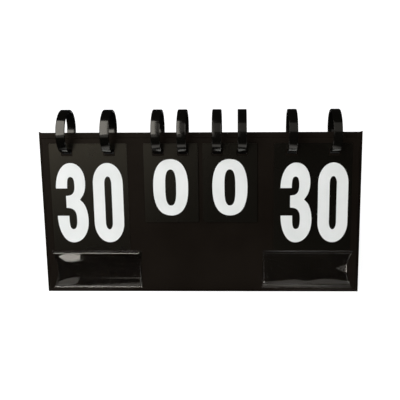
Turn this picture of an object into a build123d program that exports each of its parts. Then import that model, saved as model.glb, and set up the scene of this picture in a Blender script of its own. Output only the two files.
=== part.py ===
"""Tabletop flip scoreboard: two film-covered boards joined along a fold stand as an
A-frame, and four sets of number cards hang on eight flat rings around the fold.

Frame: X runs along the fold, the front panel faces -Y, +Z is up, and the origin is
the centre of the footprint on the table. Lengths are millimetres, angles degrees.
"""

import os
from math import cos, radians, sin, sqrt

from build123d import *

# ---------------------------------------------------------------- driving dimensions

# the folding case
PANEL_WIDTH = 380.0  # along the fold
PANEL_LENGTH = 198.0  # from the fold's axis to the table, along a panel's inner face
LEAN_ANGLE = 20.0  # each panel's lean from upright
FILM_THICKNESS = 0.5  # the plastic sheets that cover the boards
BOARD_THICKNESS = 2.0
WELD_WIDTH = 3.0  # the rim where a cover is welded to its lining
FOLD_FLEX_LENGTH = 6.0  # bare film between the fold's axis and a board
COVER_EDGE_RADIUS = 1.2  # the cover's soft edge over the board's edge
SPINE_RADIUS = 0.9  # the rounded crease of the film
SPINE_CLEARANCE = 0.3  # between the crease and the panel that swings
EAR_HEIGHT = 1.8  # the pinched tip of the weld at each end of the crease
EAR_LENGTH = 3.0
EAR_THICKNESS = 0.8

# the rings
RING_INNER_RADIUS = 23.0
RING_THICKNESS = 2.4
RING_LIFT = 2.8  # from the fold's axis up to the rings' own
RING_WIDTH = 10.5
RING_EDGE_RADIUS = 0.7
CLASP_SLIT = 0.4  # width of the two slits of the lap joint that opens a ring
CLASP_LAP = 5.0  # between the two slits
CLASP_DEPTH = 0.9
POINTS_RING_SPAN = 50.2  # between the two rings of a points card
SETS_RING_SPAN = 29.4  # between the two rings of a sets card

# the cards
CARD_THICKNESS = 0.16
CARD_AIR = 0.03  # between loosely stacked cards
TURN_CLEARANCE = 0.2  # under a card that turns
CARD_CORNER_RADIUS = 1.5
CARD_TOP_MARGIN = 9.7  # from where the rings cross a card to its top edge
POINTS_CARD_WIDTH = 92.0
SETS_CARD_WIDTH = 64.0
SETS_CARD_LENGTH = 96.4
OUTER_MARGIN = 11.4  # from a points card to the panel's side
SETS_GAP = 5.6  # between the two sets cards
POINTS_CARDS = 32
SETS_CARDS = 9

# the slots that the rings pass through
PANEL_SLOT_SIDE_CLEARANCE = 0.4
PANEL_SLOT_RADIAL_CLEARANCE = 1.9
CARD_SLOT_SIDE_CLEARANCE = 1.6
CARD_SLOT_ABOVE_RING = 1.5
CARD_SLOT_BELOW_RING = 4.3  # a card hangs from its rings, so its slots are open below them
SLOT_CORNER_RADIUS = 0.8

# the name pockets
POCKET_LENGTH = 108.5
POCKET_HEIGHT = 47.2
POCKET_OUTER_MARGIN = 8.0  # from a pocket's open end to the panel's side
POCKET_BOTTOM_MARGIN = 5.5  # from a pocket to the panel's bottom edge
POCKET_FILM = 0.3
POCKET_WELD = 3.2
POCKET_ROOM = 1.0  # height inside, for a paper name card
POCKET_EDGE_RADIUS = 0.6
CARD_POCKET_GAP = 1.8  # from the points cards to the pockets below them

# the straps that stop the panels spreading
STRAP_WIDTH = 16.0
STRAP_THICKNESS = 0.8
STRAP_TAB_LENGTH = 14.0
STRAP_HEIGHT = 18.0  # above the table
STRAP_SIDE_MARGIN = 32.0  # from a strap's middle to the panel's side

# ---------------------------------------------------------------- derived dimensions

lean = radians(LEAN_ANGLE)
fold_height = PANEL_LENGTH * cos(lean)
ring_axis_height = fold_height + RING_LIFT

# heights above a panel's inner face
board_face = FILM_THICKNESS + BOARD_THICKNESS
cover_face = board_face + FILM_THICKNESS

ring_outer_radius = RING_INNER_RADIUS + RING_THICKNESS
ring_middle_radius = RING_INNER_RADIUS + RING_THICKNESS / 2
panel_slot_width = RING_WIDTH + 2 * PANEL_SLOT_SIDE_CLEARANCE
card_slot_width = RING_WIDTH + 2 * CARD_SLOT_SIDE_CLEARANCE
panel_slot_height = RING_THICKNESS + 2 * PANEL_SLOT_RADIAL_CLEARANCE
card_slot_height = RING_THICKNESS + CARD_SLOT_ABOVE_RING + CARD_SLOT_BELOW_RING
card_slot_drop = (CARD_SLOT_BELOW_RING - CARD_SLOT_ABOVE_RING) / 2


def ring_line(height):
    """How far down a panel the rings' middle lies, at this height above its inner face."""
    out = height - RING_LIFT * sin(lean)
    return sqrt(ring_middle_radius**2 - out**2) - RING_LIFT * cos(lean)


card_pitch = CARD_THICKNESS + CARD_AIR
card_top = ring_line(cover_face) - CARD_TOP_MARGIN
pocket_top = PANEL_LENGTH - POCKET_BOTTOM_MARGIN - POCKET_HEIGHT
points_card_length = pocket_top - CARD_POCKET_GAP - card_top
sets_place = (SETS_GAP + SETS_CARD_WIDTH) / 2
points_place = PANEL_WIDTH / 2 - OUTER_MARGIN - POINTS_CARD_WIDTH / 2

# A panel's plane lies on its inner face, through the fold's axis: local x runs along
# the fold, local y runs up the panel and local z points out of it.
fold_point = (0, 0, fold_height)
ring_axis = Axis((0, 0, ring_axis_height), (1, 0, 0))
panels = {
    "front": Plane(origin=fold_point, x_dir=(1, 0, 0), z_dir=(0, -cos(lean), sin(lean))),
    "back": Plane(origin=fold_point, x_dir=(-1, 0, 0), z_dir=(0, cos(lean), sin(lean))),
}

# A station is one score: its middle along X, and its cards' width, length and ring span.
points_size = (POINTS_CARD_WIDTH, points_card_length, POINTS_RING_SPAN)
sets_size = (SETS_CARD_WIDTH, SETS_CARD_LENGTH, SETS_RING_SPAN)
stations = {
    "left_points": (-points_place, *points_size),
    "left_sets": (-sets_place, *sets_size),
    "right_sets": (sets_place, *sets_size),
    "right_points": (points_place, *points_size),
}

# How many cards lie on each panel: the points stand at their last number, the sets
# at their first.
cards_at_rest = {
    ("front", "points"): 1,
    ("back", "points"): POINTS_CARDS - 1,
    ("front", "sets"): SETS_CARDS - 1,
    ("back", "sets"): 1,
}

ring_places = [
    place + side * span / 2
    for place, width, length, span in stations.values()
    for side in (-1, 1)
]


def local_x(panel, x):
    """The place x along the fold, in the sketches of a panel."""
    return x if panel == "front" else -x


# ---------------------------------------------------------------- boards and films


def slot_outlines(panel, places, size, height, middle):
    """Ring slots of this size at these places along X, in a sketch at this height above
    the panel. Their middles lie this far down the panel from the fold's axis."""
    with BuildSketch(panels[panel].offset(height)) as outlines:
        with Locations(*[(local_x(panel, x), -middle) for x in places]):
            RectangleRounded(*size, SLOT_CORNER_RADIUS)
    return outlines.sketch


def panel_slots(panel):
    """The slots of every ring, in a sketch on the panel's inner face."""
    size = (panel_slot_width, panel_slot_height)
    return slot_outlines(panel, ring_places, size, 0, ring_line(cover_face / 2))


def board_outline(panel, grow):
    """The board's outline on the lining, larger all round by grow."""
    width = PANEL_WIDTH - 2 * (WELD_WIDTH + FILM_THICKNESS - grow)
    top = FOLD_FLEX_LENGTH - grow
    bottom = PANEL_LENGTH - WELD_WIDTH - FILM_THICKNESS + grow
    with BuildSketch(panels[panel].offset(FILM_THICKNESS)) as outline:
        with Locations((0, -(top + bottom) / 2)):
            Rectangle(width, bottom - top)
    return outline.sketch


def film_outline(panel, height):
    """A whole sheet at this height, from the fold's axis to a little below the table."""
    length = PANEL_LENGTH + board_face
    with BuildSketch(panels[panel].offset(height)) as outline:
        with Locations((0, -length / 2)):
            Rectangle(PANEL_WIDTH, length)
    return outline.sketch


def crease_outline(radius):
    """A round section of the crease, in a sketch at the left end of the fold."""
    with BuildSketch(Plane.YZ.offset(-PANEL_WIDTH / 2)) as outline:
        with Locations((0, fold_height)):
            Circle(radius)
    return outline.sketch


def crease_room(panel):
    """The films are welded to the crease on the front, and clear it on the back."""
    clearance = 0 if panel == "front" else SPINE_CLEARANCE
    return crease_outline(SPINE_RADIUS + clearance)


def make_board(panel):
    with BuildPart() as board:
        extrude(board_outline(panel, 0), amount=BOARD_THICKNESS)
        extrude(panel_slots(panel), amount=cover_face, mode=Mode.SUBTRACT)
    board.part.label = f"{panel}_board"
    export_step(board.part, f"parts/{board.part.label}.step")


def make_lining(panel):
    with BuildPart() as lining:
        extrude(film_outline(panel, 0), amount=FILM_THICKNESS)
        extrude(panel_slots(panel), amount=cover_face, mode=Mode.SUBTRACT)
        extrude(crease_room(panel), amount=PANEL_WIDTH, mode=Mode.SUBTRACT)
        split(bisect_by=Plane.XY, keep=Keep.TOP)
    lining.part.label = f"{panel}_lining"
    export_step(lining.part, f"parts/{lining.part.label}.step")


def make_cover(panel):
    """The outer film: raised over the board, and flat on the lining round it."""
    with BuildPart() as cover:
        extrude(board_outline(panel, FILM_THICKNESS), amount=BOARD_THICKNESS + FILM_THICKNESS)
        raised_face = cover.faces().sort_by(Axis(fold_point, panels[panel].z_dir))[-1]
        fillet(raised_face.edges(), radius=COVER_EDGE_RADIUS)
        extrude(film_outline(panel, FILM_THICKNESS), amount=FILM_THICKNESS)
        extrude(board_outline(panel, 0), amount=BOARD_THICKNESS, mode=Mode.SUBTRACT)
        extrude(panel_slots(panel), amount=cover_face, mode=Mode.SUBTRACT)
        extrude(crease_room(panel), amount=PANEL_WIDTH, mode=Mode.SUBTRACT)
        split(bisect_by=Plane.XY, keep=Keep.TOP)
    cover.part.label = f"{panel}_cover"
    export_step(cover.part, f"parts/{cover.part.label}.step")


def make_fold_spine():
    """The crease between the panels, with the weld's pinched tip at each end."""
    with BuildPart() as spine:
        extrude(crease_outline(SPINE_RADIUS), amount=PANEL_WIDTH)
        with BuildSketch(Plane.XZ) as ears:
            for side in (-1, 1):
                end = side * PANEL_WIDTH / 2
                tip = fold_height + SPINE_RADIUS + EAR_HEIGHT
                with BuildLine():
                    Polyline(
                        (end, fold_height),
                        (end, tip),
                        (end - side * EAR_LENGTH, fold_height),
                        close=True,
                    )
                make_face()
        extrude(amount=EAR_THICKNESS / 2, both=True)
    spine.part.label = "fold_spine"
    export_step(spine.part, "parts/fold_spine.step")


# ---------------------------------------------------------------- name pockets


def make_name_pocket(panel, side):
    """A clear film welded along three sides, and open towards the panel's side."""
    outward = local_x(panel, 1 if side == "right" else -1)
    middle = outward * (PANEL_WIDTH / 2 - POCKET_OUTER_MARGIN - POCKET_LENGTH / 2)
    level = -(pocket_top + POCKET_HEIGHT / 2)
    window_height = POCKET_HEIGHT - 2 * POCKET_WELD
    window_length = POCKET_LENGTH - POCKET_WELD
    film = panels[panel].offset(cover_face)
    with BuildPart() as pocket:
        with BuildSketch(film):
            with Locations((middle + outward * POCKET_WELD / 2, level)):
                Rectangle(window_length, window_height)
        extrude(amount=POCKET_ROOM + POCKET_FILM)
        roof = pocket.faces().sort_by(Axis(fold_point, film.z_dir))[-1]
        along_the_fold = roof.edges().sort_by(Axis.X if side == "right" else -Axis.X)
        fillet(along_the_fold[:-1], radius=POCKET_EDGE_RADIUS)
        with BuildSketch(film):
            with Locations((middle, level)):
                Rectangle(POCKET_LENGTH, POCKET_HEIGHT)
        extrude(amount=POCKET_FILM)
        with BuildSketch(film):
            with Locations((middle + outward * (POCKET_WELD / 2 + POCKET_FILM), level)):
                Rectangle(window_length, window_height - 2 * POCKET_FILM)
        extrude(amount=POCKET_ROOM, mode=Mode.SUBTRACT)
    pocket.part.label = f"{panel}_{side}_name_pocket"
    export_step(pocket.part, f"parts/{pocket.part.label}.step")


# ---------------------------------------------------------------- rings


def make_ring(number, place):
    """A flat band round the rings' axis, with the lap joint of its clasp underneath."""
    with BuildPart() as ring:
        with BuildSketch(Plane.XZ):
            with Locations((place, ring_axis_height + ring_middle_radius)):
                RectangleRounded(RING_WIDTH, RING_THICKNESS, RING_EDGE_RADIUS)
        revolve(axis=ring_axis)
        slits = [
            (place, -CLASP_LAP / 2, ring_axis_height - ring_outer_radius),
            (place, CLASP_LAP / 2, ring_axis_height - RING_INNER_RADIUS),
        ]
        with Locations(*slits):
            Box(2 * RING_WIDTH, CLASP_SLIT, 2 * CLASP_DEPTH, mode=Mode.SUBTRACT)
    ring.part.label = f"ring_{number}"
    export_step(ring.part, f"parts/{ring.part.label}.step")


# ---------------------------------------------------------------- cards


def make_sheet(panel, station, height):
    """One card, lying at this height above the panel."""
    place, width, length, span = stations[station]
    ring_middle = ring_line(height + CARD_THICKNESS / 2)
    rings = [place - span / 2, place + span / 2]
    slot_size = (card_slot_width, card_slot_height)
    slots = slot_outlines(panel, rings, slot_size, height, ring_middle + card_slot_drop)
    with BuildPart() as sheet:
        with BuildSketch(panels[panel].offset(height)):
            with Locations((local_x(panel, place), CARD_TOP_MARGIN - ring_middle - length / 2)):
                RectangleRounded(width, length, CARD_CORNER_RADIUS)
        extrude(amount=CARD_THICKNESS)
        extrude(slots, amount=CARD_THICKNESS, mode=Mode.SUBTRACT)
    return sheet.part


def cards_below(panel, station):
    """How many cards lie still under the top one."""
    score = station.split("_")[1]
    return cards_at_rest[panel, score] - 1


def make_pack(panel, station):
    """The cards that lie still, each a sheet of its own. They step up towards the fold,
    because they follow the rings."""
    heights = [
        cover_face + CARD_AIR + number * card_pitch
        for number in range(cards_below(panel, station))
    ]
    if heights:
        sheets = [make_sheet(panel, station, height) for height in heights]
        pack = Compound(label=f"{station}_{panel}_pack", children=sheets)
        export_step(pack, f"parts/{pack.label}.step")


def make_top_card(panel, station):
    """The card that turns over next, on top of its pack."""
    height = cover_face + cards_below(panel, station) * card_pitch + TURN_CLEARANCE
    card = make_sheet(panel, station, height)
    card.label = f"{station}_{panel}_card"
    export_step(card, f"parts/{card.label}.step")


# ---------------------------------------------------------------- straps


def inside_point(down, depth):
    """A point of the front panel's section in Y and Z, this far down from the fold's
    axis and this deep inside the panel's inner face."""
    y = -down * sin(lean) + depth * cos(lean)
    z = fold_height - down * cos(lean) - depth * sin(lean)
    return (y, z)


def make_strap(side):
    """A flat strap between the linings, bent up into a welded tab at each end."""
    depth = STRAP_THICKNESS
    foot = (fold_height - STRAP_HEIGHT) / cos(lean)
    inner_foot = (fold_height - STRAP_HEIGHT - depth - depth * sin(lean)) / cos(lean)
    half = [
        inside_point(foot - STRAP_TAB_LENGTH, depth),
        inside_point(foot - STRAP_TAB_LENGTH, 0),
        inside_point(foot, 0),
    ]
    inner_corner = inside_point(inner_foot, depth)
    mirrored = [(-y, z) for y, z in reversed(half)]
    outline = [inner_corner, *half, *mirrored, (-inner_corner[0], inner_corner[1])]
    middle = PANEL_WIDTH / 2 - STRAP_SIDE_MARGIN
    middle = middle if side == "right" else -middle
    with BuildPart() as strap:
        with BuildSketch(Plane.YZ.offset(middle)):
            with BuildLine():
                Polyline(*outline, close=True)
            make_face()
        extrude(amount=STRAP_WIDTH / 2, both=True)
    strap.part.label = f"{side}_spreader_strap"
    export_step(strap.part, f"parts/{strap.part.label}.step")


# ---------------------------------------------------------------- the whole board

os.makedirs("parts", exist_ok=True)
make_fold_spine()
for panel in panels:
    make_board(panel)
    make_lining(panel)
    make_cover(panel)
    for side in ("left", "right"):
        make_name_pocket(panel, side)
    for station in stations:
        make_pack(panel, station)
        make_top_card(panel, station)
for number, place in enumerate(ring_places, 1):
    make_ring(number, place)
for side in ("left", "right"):
    make_strap(side)
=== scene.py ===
"""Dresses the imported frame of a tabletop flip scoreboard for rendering.

Two film-covered boards lean together along a fold. Eight flat rings go round the fold
and carry four sets of number cards, and a clear pocket for a name is welded near each
lower corner. Lengths in the classes are millimetres, and become metres in each mesh.
"""

import logging
import math
from collections.abc import Sequence
from dataclasses import dataclass, field
from enum import Enum

import bpy
import numpy as np
from mathutils import Matrix
from mathutils.geometry import tessellate_polygon

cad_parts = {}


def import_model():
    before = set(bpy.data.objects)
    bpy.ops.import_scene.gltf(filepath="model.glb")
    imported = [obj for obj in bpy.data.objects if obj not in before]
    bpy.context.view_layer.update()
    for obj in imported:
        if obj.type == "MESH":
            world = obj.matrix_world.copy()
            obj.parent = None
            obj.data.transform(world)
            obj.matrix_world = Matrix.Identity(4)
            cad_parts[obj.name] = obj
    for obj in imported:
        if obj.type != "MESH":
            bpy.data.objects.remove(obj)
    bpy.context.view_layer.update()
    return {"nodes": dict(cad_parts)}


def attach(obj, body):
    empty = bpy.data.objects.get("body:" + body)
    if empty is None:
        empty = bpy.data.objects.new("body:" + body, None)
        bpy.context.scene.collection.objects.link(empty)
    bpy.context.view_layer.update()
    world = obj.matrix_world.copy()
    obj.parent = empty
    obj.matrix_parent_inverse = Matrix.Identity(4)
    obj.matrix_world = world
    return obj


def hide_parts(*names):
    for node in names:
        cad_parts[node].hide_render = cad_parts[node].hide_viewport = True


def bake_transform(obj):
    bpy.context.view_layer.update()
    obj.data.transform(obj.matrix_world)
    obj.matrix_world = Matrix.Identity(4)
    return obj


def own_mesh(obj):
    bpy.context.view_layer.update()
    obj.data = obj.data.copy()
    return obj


log = logging.getLogger("scoreboard")

METRES = 0.001
Point = tuple[float, float]
Colour = tuple[float, float, float]
Values = float | np.ndarray


class Side(Enum):
    """The two panels. The value is the sign of Y that a panel faces."""

    FRONT = -1
    BACK = 1

    @property
    def word(self) -> str:
        """The side's name, as the bodies and nodes spell it."""
        return self.name.lower()

    @property
    def body(self) -> str:
        """The body of this side's panel."""
        return f"{self.word}_panel"


class Hand(Enum):
    """The two ends of a panel. The value is the sign of X there."""

    LEFT = -1
    RIGHT = 1

    @property
    def word(self) -> str:
        """The hand's name, as the nodes spell it."""
        return self.name.lower()


class Score(Enum):
    """The two kinds of number card."""

    POINTS = "points"
    SETS = "sets"


# ---------------------------------------------------------------- shared layout


@dataclass(frozen=True)
class Layout:
    """The sizes that several pieces share, in millimetres and degrees."""

    width: float = 380.0
    length: float = 198.0
    lean: float = 20.0
    film: float = 0.5
    cover_face: float = 3.0
    ring_middle: float = 24.2
    ring_lift: float = 2.8
    ring_places: tuple[float, ...] = (-157.7, -107.5, -49.5, -20.1, 20.1, 49.5, 107.5, 157.7)
    pocket_top: float = 145.3

    @property
    def fold_height(self) -> float:
        """Height of the fold's axis above the table."""
        return self.length * math.cos(math.radians(self.lean))

    @property
    def ring_axis_height(self) -> float:
        """Height above the table of the rings' common axis."""
        return self.fold_height + self.ring_lift

    def ring_line(self, height: Values) -> Values:
        """How far down a panel the rings' middle lies, at this height above its inner face.

        It is the circle of the rings' middle cut by the line at that height.

        Args:
            height: millimetres above the panel's inner face.

        Returns:
            Millimetres down from the fold's axis.
        """
        lean = math.radians(self.lean)
        out = height - self.ring_lift * math.sin(lean)
        return np.sqrt(self.ring_middle**2 - out**2) - self.ring_lift * math.cos(lean)

    def place(self, side: Side, x: Values, down: Values, out: Values) -> np.ndarray:
        """Points given in a panel's own coordinates, in the shared frame.

        y is the side's sign times (down sin lean + out cos lean), and z is the fold's
        height less down cos lean, plus out sin lean.

        Args:
            side: the panel.
            x: places along the fold.
            down: distances down the panel from the fold's axis.
            out: heights above the panel's inner face.

        Returns:
            An array of points in metres, with the three coordinates last.
        """
        x, down, out = np.broadcast_arrays(*(np.asarray(v, float) for v in (x, down, out)))
        sine, cosine = math.sin(math.radians(self.lean)), math.cos(math.radians(self.lean))
        y = side.value * (down * sine + out * cosine)
        z = self.fold_height - down * cosine + out * sine
        return np.stack([x, y, z], axis=-1) * METRES


LAYOUT = Layout()


# ---------------------------------------------------------------- meshes from arrays


def spaced(breaks: Sequence[float], steps: Sequence[float]) -> np.ndarray:
    """Grid lines that pass through every break, with even steps between two breaks.

    Args:
        breaks: rising places that must be grid lines.
        steps: the longest step allowed in each interval between breaks.

    Returns:
        The rising places of all the lines.
    """
    runs = [
        np.linspace(a, b, max(1, math.ceil((b - a) / step)), endpoint=False)
        for a, b, step in zip(breaks[:-1], breaks[1:], steps, strict=True)
    ]
    return np.concatenate([*runs, [breaks[-1]]])


def smoothstep(value: np.ndarray) -> np.ndarray:
    """3 t squared less 2 t cubed, of the value held between 0 and 1."""
    t = np.clip(value, 0.0, 1.0)
    return t * t * (3 - 2 * t)


def ridge(value: np.ndarray, place: float, width: float) -> np.ndarray:
    """A bell of height 1: e to the minus square of the way from the place, over the width."""
    return np.exp(-(((value - place) / width) ** 2))


def shell_faces(keep: np.ndarray) -> np.ndarray:
    """The quads of a closed sheet over a grid of cells, some of which may be missing.

    The outer grid's points come first and the inner grid's follow. Every cell that is
    kept gives an outer quad and a reversed inner one, and every edge between a kept
    cell and a missing one gives a wall.

    Args:
        keep: which cells exist, one row and one column fewer than the points.

    Returns:
        An array of quads, four indices each.
    """
    rows, columns = keep.shape[0] + 1, keep.shape[1] + 1
    outer = np.arange(rows * columns).reshape(rows, columns)
    inner = outer + rows * columns
    a, b, c, d = outer[:-1, :-1], outer[:-1, 1:], outer[1:, 1:], outer[1:, :-1]
    shift = rows * columns
    quads = [np.stack([a, b, c, d], -1)[keep], np.stack([a, d, c, b], -1)[keep] + shift]
    room = np.pad(keep, 1)
    first, last = room[:-1, 1:-1], room[1:, 1:-1]
    left, right = outer[:, :-1], outer[:, 1:]
    low, high = inner[:, :-1], inner[:, 1:]
    starts, ends = last & ~first, first & ~last
    quads.append(np.stack([right, left, low, high], -1)[starts])
    quads.append(np.stack([left, right, high, low], -1)[ends])
    first, last = room[1:-1, :-1], room[1:-1, 1:]
    top, bottom = outer[:-1, :], outer[1:, :]
    low, high = inner[:-1, :], inner[1:, :]
    starts, ends = last & ~first, first & ~last
    quads.append(np.stack([top, bottom, high, low], -1)[starts])
    quads.append(np.stack([bottom, top, low, high], -1)[ends])
    return np.concatenate(quads)


def closed_shell(
    outer: np.ndarray, inner: np.ndarray, keep: np.ndarray | None = None
) -> tuple[np.ndarray, np.ndarray]:
    """A closed sheet between two grids of points.

    Args:
        outer: grid of points on the face that looks outwards.
        inner: the grid on the other face.
        keep: which cells exist; all of them if left out.

    Returns:
        The points and the quads. Faces look outwards.
    """
    rows, columns = outer.shape[:2]
    keep = np.ones((rows - 1, columns - 1), bool) if keep is None else keep
    faces = shell_faces(keep)
    points = np.concatenate([outer.reshape(-1, 3), inner.reshape(-1, 3)])
    across = outer[1:, :-1] - outer[:-1, 1:]
    along = outer[1:, 1:] - outer[:-1, :-1]
    thickness = (outer - inner)[:-1, :-1]
    if np.sum(np.cross(along, across) * thickness) < 0:
        faces = faces[:, ::-1]
    return points, faces


def tube_faces(rings: int, around: int) -> np.ndarray:
    """The quads of a grid that is closed both ways.

    Args:
        rings: how many sections go round the path.
        around: how many points each section has.

    Returns:
        An array of quads.
    """
    index = np.arange(rings * around).reshape(rings, around)
    ahead, beside = np.roll(index, -1, 0), np.roll(index, -1, 1)
    both = np.roll(ahead, -1, 1)
    return np.stack([index, ahead, both, beside], -1).reshape(-1, 4)


def make_mesh(name: str, points: np.ndarray, faces: Sequence[np.ndarray]) -> bpy.types.Object:
    """A mesh object at the origin from whole arrays.

    Args:
        name: the piece's name.
        points: an array of points in metres.
        faces: arrays of triangles or quads.

    Returns:
        The linked object, smooth but for its sharp edges.
    """
    corners = np.concatenate([f.reshape(-1) for f in faces])
    used, corners = np.unique(corners, return_inverse=True)
    sizes = np.concatenate([np.full(len(f), f.shape[1]) for f in faces])
    starts = np.concatenate([[0], np.cumsum(sizes)[:-1]])
    mesh = bpy.data.meshes.new(name)
    mesh.vertices.add(len(used))
    mesh.vertices.foreach_set("co", points[used].astype(np.float32).ravel())
    mesh.loops.add(len(corners))
    mesh.loops.foreach_set("vertex_index", corners.astype(np.int32))
    mesh.polygons.add(len(sizes))
    mesh.polygons.foreach_set("loop_start", starts.astype(np.int32))
    mesh.polygons.foreach_set("use_smooth", np.ones(len(sizes), bool))
    mesh.update(calc_edges=True)
    mesh.validate()
    mesh.set_sharp_from_angle(angle=math.radians(35))
    piece = bpy.data.objects.new(name, mesh)
    bpy.context.scene.collection.objects.link(piece)
    return piece


def sheet_mesh(
    name: str, outer: np.ndarray, inner: np.ndarray, keep: np.ndarray | None = None
) -> bpy.types.Object:
    """A closed sheet between two grids of points, as a mesh object.

    Args:
        name: the piece's name.
        outer: grid of points on the face that looks outwards.
        inner: the grid on the other face.
        keep: which cells exist; all of them if left out.

    Returns:
        The object.
    """
    points, faces = closed_shell(outer, inner, keep)
    return make_mesh(name, points, [faces])


def joined(parts: Sequence[tuple[np.ndarray, np.ndarray]]) -> tuple[np.ndarray, np.ndarray]:
    """Several meshes with faces of one size, as one.

    Args:
        parts: the points and faces of each mesh.

    Returns:
        All the points and all the faces.
    """
    counts = np.cumsum([0, *[len(points) for points, _ in parts]])
    points = np.concatenate([p for p, _ in parts])
    return points, np.concatenate([f + n for (_, f), n in zip(parts, counts, strict=False)])


def finish_piece(
    piece: bpy.types.Object,
    material: bpy.types.Material,
    body: str | None = None,
    nodes: Sequence[str] = (),
) -> bpy.types.Object:
    """Gives a piece its material, hangs it on its body and hides the CAD nodes it stands for.

    Args:
        piece: the new piece.
        material: its finish.
        body: the body it rides on; with none it rides on no body.
        nodes: the CAD nodes it stands for.

    Returns:
        The same piece.
    """
    piece.data.materials.append(material)
    if body:
        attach(piece, body)
    if nodes:
        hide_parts(*nodes)
    log.info("%s: %d faces, for %s", piece.name, len(piece.data.polygons), list(nodes) or "no node")
    return piece


# ---------------------------------------------------------------- finishes


class Nodes:
    """A short way to add and join shader nodes in one material or world."""

    def __init__(self, tree: bpy.types.NodeTree) -> None:
        """Starts from an empty tree."""
        self.tree = tree
        tree.nodes.clear()

    @classmethod
    def of_material(cls, name: str) -> tuple[bpy.types.Material, "Nodes"]:
        """A new material and its empty tree.

        Args:
            name: the material's name.

        Returns:
            The material and the nodes to fill it with.
        """
        material = bpy.data.materials.new(name)
        material.use_nodes = True
        return material, cls(material.node_tree)

    def add(self, kind: str, **settings: object) -> bpy.types.Node:
        """A new node with these properties set.

        Args:
            kind: the node's type.
            settings: its properties by name.

        Returns:
            The node.
        """
        node = self.tree.nodes.new(kind)
        for key, value in settings.items():
            setattr(node, key, value)
        return node

    def join(self, source: bpy.types.NodeSocket, target: bpy.types.NodeSocket) -> None:
        """A link from an output to an input."""
        self.tree.links.new(source, target)

    def surface(self, shader: bpy.types.NodeSocket, kind: str = "ShaderNodeOutputMaterial") -> None:
        """Sends a shader to the tree's output."""
        self.join(shader, self.add(kind).inputs["Surface"])

    def place(self) -> bpy.types.NodeSocket:
        """The object's own coordinates."""
        return self.add("ShaderNodeTexCoord").outputs["Object"]

    def noise(
        self, vector: bpy.types.NodeSocket, scale: float, detail: float
    ) -> bpy.types.NodeSocket:
        """The value of a noise.

        Args:
            vector: the coordinates.
            scale: features a metre.
            detail: octaves.

        Returns:
            The noise's value.
        """
        node = self.add("ShaderNodeTexNoise")
        node.inputs["Scale"].default_value = scale
        node.inputs["Detail"].default_value = detail
        self.join(vector, node.inputs["Vector"])
        return node.outputs["Fac"]

    def remap(
        self, value: bpy.types.NodeSocket, low: float, high: float, start: float = 0.0, end: float = 1.0
    ) -> bpy.types.NodeSocket:
        """A value between start and end, carried to low and high and held there.

        Args:
            value: the input.
            low: the output at start.
            high: the output at end.
            start: where the input's range begins.
            end: where it ends.

        Returns:
            The new value.
        """
        node = self.add("ShaderNodeMapRange")
        for name, number in (("From Min", start), ("From Max", end), ("To Min", low), ("To Max", high)):
            node.inputs[name].default_value = number
        self.join(value, node.inputs["Value"])
        return node.outputs["Result"]

    def tint(self, value: bpy.types.NodeSocket, dark: Colour, light: Colour) -> bpy.types.NodeSocket:
        """A colour between two, by a value from 0 to 1.

        Args:
            value: the mix.
            dark: the colour at 0.
            light: the colour at 1.

        Returns:
            The colour.
        """
        node = self.add("ShaderNodeMix", data_type="RGBA")
        node.inputs["A"].default_value = (*dark, 1)
        node.inputs["B"].default_value = (*light, 1)
        self.join(value, node.inputs["Factor"])
        return node.outputs["Result"]

    def bump(self, height: bpy.types.NodeSocket, distance: float) -> bpy.types.NodeSocket:
        """A normal from a height.

        Args:
            height: the height, from 0 to 1.
            distance: what 1 stands for, in metres.

        Returns:
            The normal.
        """
        node = self.add("ShaderNodeBump")
        node.inputs["Distance"].default_value = distance
        self.join(height, node.inputs["Height"])
        return node.outputs["Normal"]


# The middle part of a noise's range, which nearly all of its values lie in.
NOISE_SPAN = (0.3, 0.7)


@dataclass(frozen=True)
class PlasticFinish:
    """Moulded or sheet plastic: a base colour that drifts, under a fine grain."""

    name: str
    dark: Colour
    light: Colour
    smooth: float
    rough: float
    grain_scale: float
    grain_depth: float
    drift_scale: float
    specular: float
    tint: Colour = (1.0, 1.0, 1.0)

    def build(self) -> bpy.types.Material:
        """Colour and roughness follow a broad noise, and the normal a fine one.

        Returns:
            The material.
        """
        material, nodes = Nodes.of_material(self.name)
        place = nodes.place()
        drift = nodes.noise(place, self.drift_scale, 4.0)
        grain = nodes.noise(place, self.grain_scale, 2.0)
        shader = nodes.add("ShaderNodeBsdfPrincipled")
        colour = nodes.tint(nodes.remap(drift, 0, 1, *NOISE_SPAN), self.dark, self.light)
        roughness = nodes.remap(drift, self.smooth, self.rough, *NOISE_SPAN)
        nodes.join(colour, shader.inputs["Base Color"])
        nodes.join(roughness, shader.inputs["Roughness"])
        nodes.join(nodes.bump(grain, self.grain_depth), shader.inputs["Normal"])
        shader.inputs["Specular IOR Level"].default_value = self.specular
        shader.inputs["Specular Tint"].default_value = (*self.tint, 1)
        nodes.surface(shader.outputs["BSDF"])
        return material


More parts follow.
